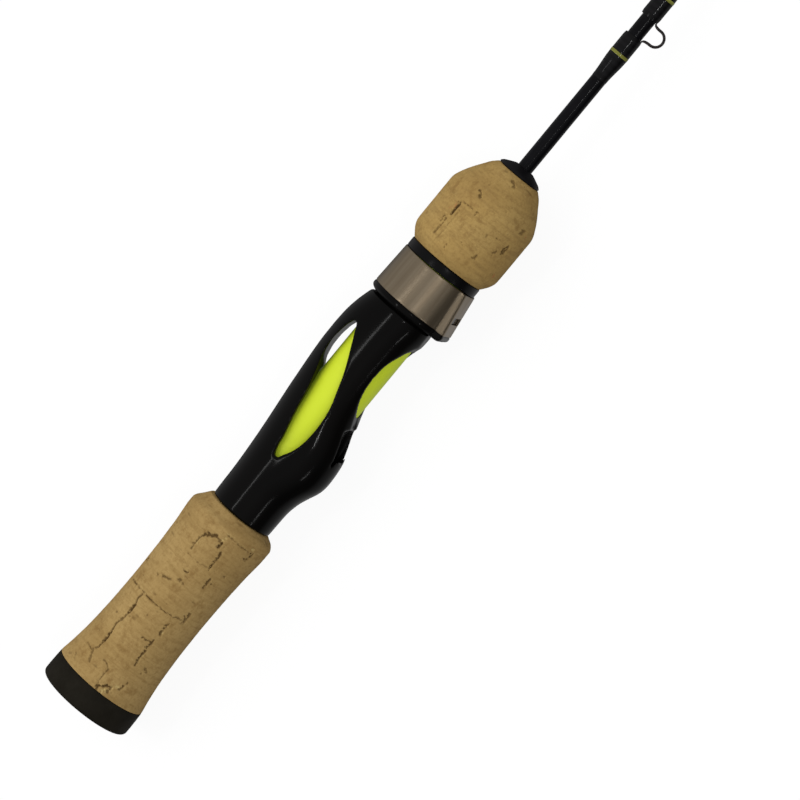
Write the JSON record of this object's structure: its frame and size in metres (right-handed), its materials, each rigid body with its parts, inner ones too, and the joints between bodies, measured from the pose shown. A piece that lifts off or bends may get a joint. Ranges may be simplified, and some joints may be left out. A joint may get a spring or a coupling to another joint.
{
  "type": "ice fishing rod",
  "caption": "Short spinning rod for ice fishing: split cork handle, skeleton reel seat with a screw-down hood, hook keeper, single-foot guides and a tip top.",
  "frame": {"origin": "centre of the butt's flat end, on the rod's axis", "axes": "+X along the rod's axis from the butt to the tip, -Y towards the guides and the reel foot bed, Z across the rod"},
  "size_m": [0.7617, 0.0478, 0.0264],
  "materials": {
    "cork": "natural cork, bare and slightly worn",
    "rubber": "moulded, matte",
    "gloss_black": "moulded, polished",
    "lime": "satin, yellow-green",
    "steel": "polished stainless, slightly warm",
    "arbor": "rigid foam",
    "blank_black": "clear-coated graphite composite",
    "black_thread": "nylon thread under clear epoxy",
    "olive_thread": "nylon thread under clear epoxy",
    "guide_black": "black-plated wire frame",
    "ceramic": "polished ring"
  },
  "bodies": {
    "rod": {"blank_butt": "blank_black", "blank_tip": "blank_black", "butt_cap": "rubber", "front_arbor": "arbor", "guide_2_band": "black_thread", "guide_2_frame": "guide_black", "guide_2_insert": "ceramic", "guide_2_wrap": "olive_thread", "guide_3_band": "black_thread", "guide_3_frame": "guide_black", "guide_3_insert": "ceramic", "guide_3_wrap": "olive_thread", "guide_4_band": "black_thread", "guide_4_frame": "guide_black", "guide_4_insert": "ceramic", "guide_4_wrap": "olive_thread", "guide_5_band": "black_thread", "guide_5_frame": "guide_black", "guide_5_insert": "ceramic", "guide_5_wrap": "olive_thread", "keeper_band_front": "olive_thread", "keeper_band_rear": "olive_thread", "keeper_loop": "guide_black", "keeper_wrap_front": "black_thread", "keeper_wrap_rear": "black_thread", "rear_arbor": "arbor", "rear_cork_1": "cork", "rear_cork_2": "cork", "rear_cork_3": "cork", "rear_cork_4": "cork", "rear_cork_5": "cork", "reel_seat_body": "gloss_black", "seat_sleeve": "lime", "splice_band": "olive_thread", "splice_wrap": "black_thread", "stripper_band": "black_thread", "stripper_frame": "guide_black", "stripper_insert": "ceramic", "stripper_wrap": "olive_thread", "threaded_barrel": "gloss_black", "tip_top_band": "black_thread", "tip_top_frame": "guide_black", "tip_top_insert": "ceramic", "tip_top_wrap": "olive_thread"},
    "hood": {"hood_insert": "gloss_black", "hood_ring": "steel"},
    "foregrip": {"foregrip_nut": "gloss_black", "fore_cork_1": "cork", "fore_cork_2": "cork", "front_cap": "rubber"}
  },
  "joints": [
    {"name": "hood_slide", "type": "slide", "parent": "rod", "child": "hood", "axis": [1, 0, 0], "range_m": [0, 0.01]},
    {"name": "foregrip_turn", "type": "hinge", "parent": "hood", "child": "foregrip", "pos_m": [0.1585, 0, 0], "axis": [1, 0, 0], "range_deg": [-5, 1830]}
  ],
  "couplings": [
    {"joint": "foregrip_turn", "follows": "hood_slide", "rad_per_m": 3141.6}
  ]
}
